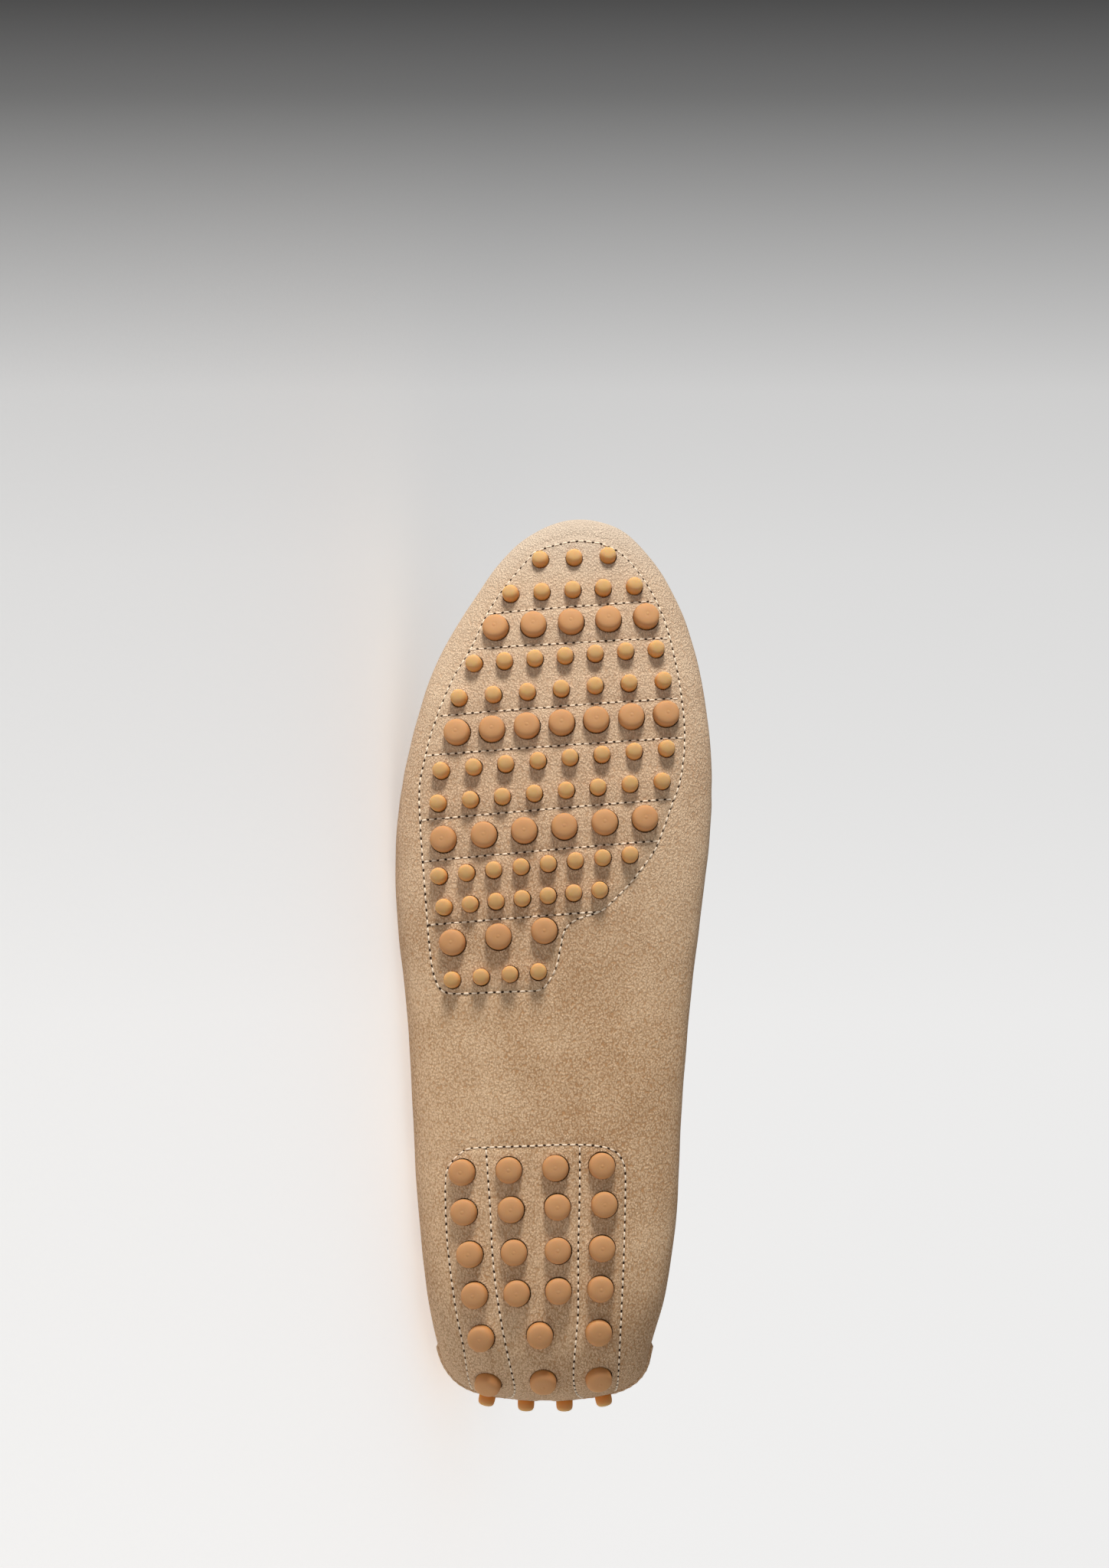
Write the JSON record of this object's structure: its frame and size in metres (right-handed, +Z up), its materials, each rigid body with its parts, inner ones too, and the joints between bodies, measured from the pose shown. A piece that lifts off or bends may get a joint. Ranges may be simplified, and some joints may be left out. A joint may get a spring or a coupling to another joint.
{
  "type": "driving moccasin",
  "caption": "Suede driving moccasin for the right foot, lying on its outer side, with a soft wrapped bottom and rubber stud plates under forepart and heel.",
  "frame": {"origin": "middle of the bounding box on the floor that the shoe lies on", "axes": "+Z up; X along the shoe with the toe towards -X; the sole faces -Y and a little up"},
  "size_m": [0.2882, 0.0874, 0.0998],
  "materials": {
    "suede": "matte napped suede",
    "suede_trim": "matte napped suede",
    "lining": "smooth lining leather",
    "stud_rubber": "satin amber rubber"
  },
  "bodies": {
    "root": {"upper": "suede", "apron": "suede_trim", "moccasin_seam": "suede_trim", "topline_roll": "suede_trim", "heel_counter": "suede_trim", "insole": "lining", "forepart_studs": "stud_rubber", "heel_studs": "stud_rubber"}
  },
  "joints": []
}
